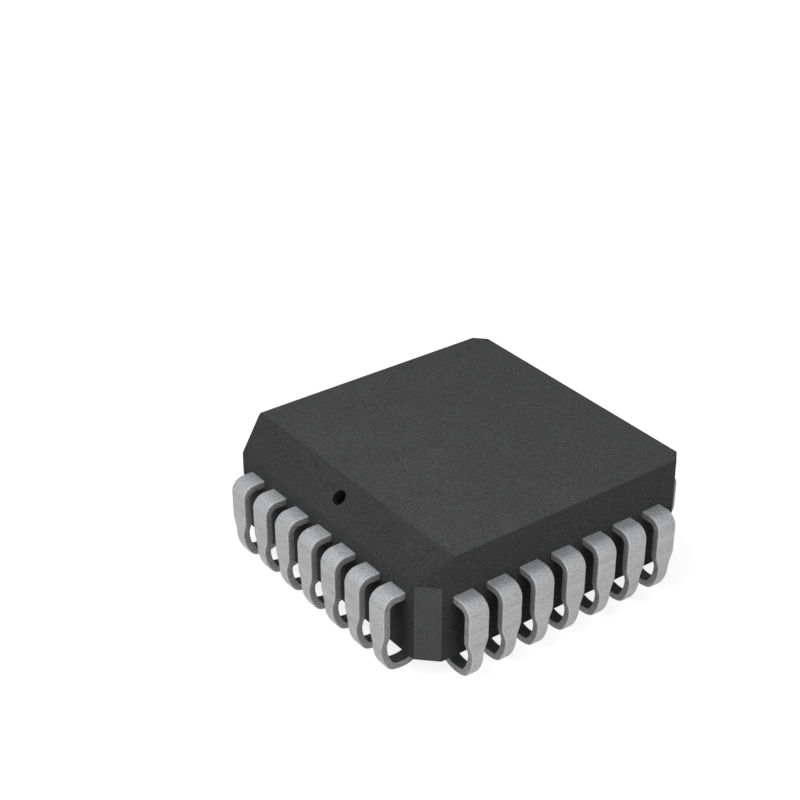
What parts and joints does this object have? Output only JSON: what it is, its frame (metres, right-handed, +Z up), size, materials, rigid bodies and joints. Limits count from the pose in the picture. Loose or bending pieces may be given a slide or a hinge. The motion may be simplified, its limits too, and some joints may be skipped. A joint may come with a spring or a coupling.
{
  "type": "plastic leaded chip carrier",
  "caption": "Square moulded chip package with J-shaped leads rolled under its edges on all four sides, a bevelled index side and a blind index hole.",
  "frame": {"origin": "centre of the lead square, on the plane where the leads touch a board", "axes": "+Z up through the flat top face; the bevelled index side with the index hole faces -X; the larger corner flat is at -X -Y; leads 5 to 11 are on the -Y side"},
  "size_m": [0.012, 0.012, 0.0043],
  "materials": {
    "mould_compound": "fine matte grain of moulding compound",
    "tinned_lead": "satin matte tin plating",
    "bare_lead_frame": "bare rolled copper alloy",
    "die_adhesive": "silver-filled adhesive",
    "silicon": "polished silicon",
    "gold_wire": "drawn gold wire"
  },
  "bodies": {
    "root": {"package_body": "mould_compound", "lead_01": "tinned_lead", "lead_02": "tinned_lead", "lead_03": "tinned_lead", "lead_04": "tinned_lead", "lead_05": "tinned_lead", "lead_06": "tinned_lead", "lead_07": "tinned_lead", "lead_08": "tinned_lead", "lead_09": "tinned_lead", "lead_10": "tinned_lead", "lead_11": "tinned_lead", "lead_12": "tinned_lead", "lead_13": "tinned_lead", "lead_14": "tinned_lead", "lead_15": "tinned_lead", "lead_16": "tinned_lead", "lead_17": "tinned_lead", "lead_18": "tinned_lead", "lead_19": "tinned_lead", "lead_20": "tinned_lead", "lead_21": "tinned_lead", "lead_22": "tinned_lead", "lead_23": "tinned_lead", "lead_24": "tinned_lead", "lead_25": "tinned_lead", "lead_26": "tinned_lead", "lead_27": "tinned_lead", "lead_28": "tinned_lead", "die_pad": "bare_lead_frame", "die_bond_layer": "die_adhesive", "die": "silicon", "bond_wire_01": "gold_wire", "bond_wire_02": "gold_wire", "bond_wire_03": "gold_wire", "bond_wire_04": "gold_wire", "bond_wire_05": "gold_wire", "bond_wire_06": "gold_wire", "bond_wire_07": "gold_wire", "bond_wire_08": "gold_wire", "bond_wire_09": "gold_wire", "bond_wire_10": "gold_wire", "bond_wire_11": "gold_wire", "bond_wire_12": "gold_wire", "bond_wire_13": "gold_wire", "bond_wire_14": "gold_wire", "bond_wire_15": "gold_wire", "bond_wire_16": "gold_wire", "bond_wire_17": "gold_wire", "bond_wire_18": "gold_wire", "bond_wire_19": "gold_wire", "bond_wire_20": "gold_wire", "bond_wire_21": "gold_wire", "bond_wire_22": "gold_wire", "bond_wire_23": "gold_wire", "bond_wire_24": "gold_wire", "bond_wire_25": "gold_wire", "bond_wire_26": "gold_wire", "bond_wire_27": "gold_wire", "bond_wire_28": "gold_wire"}
  },
  "joints": []
}
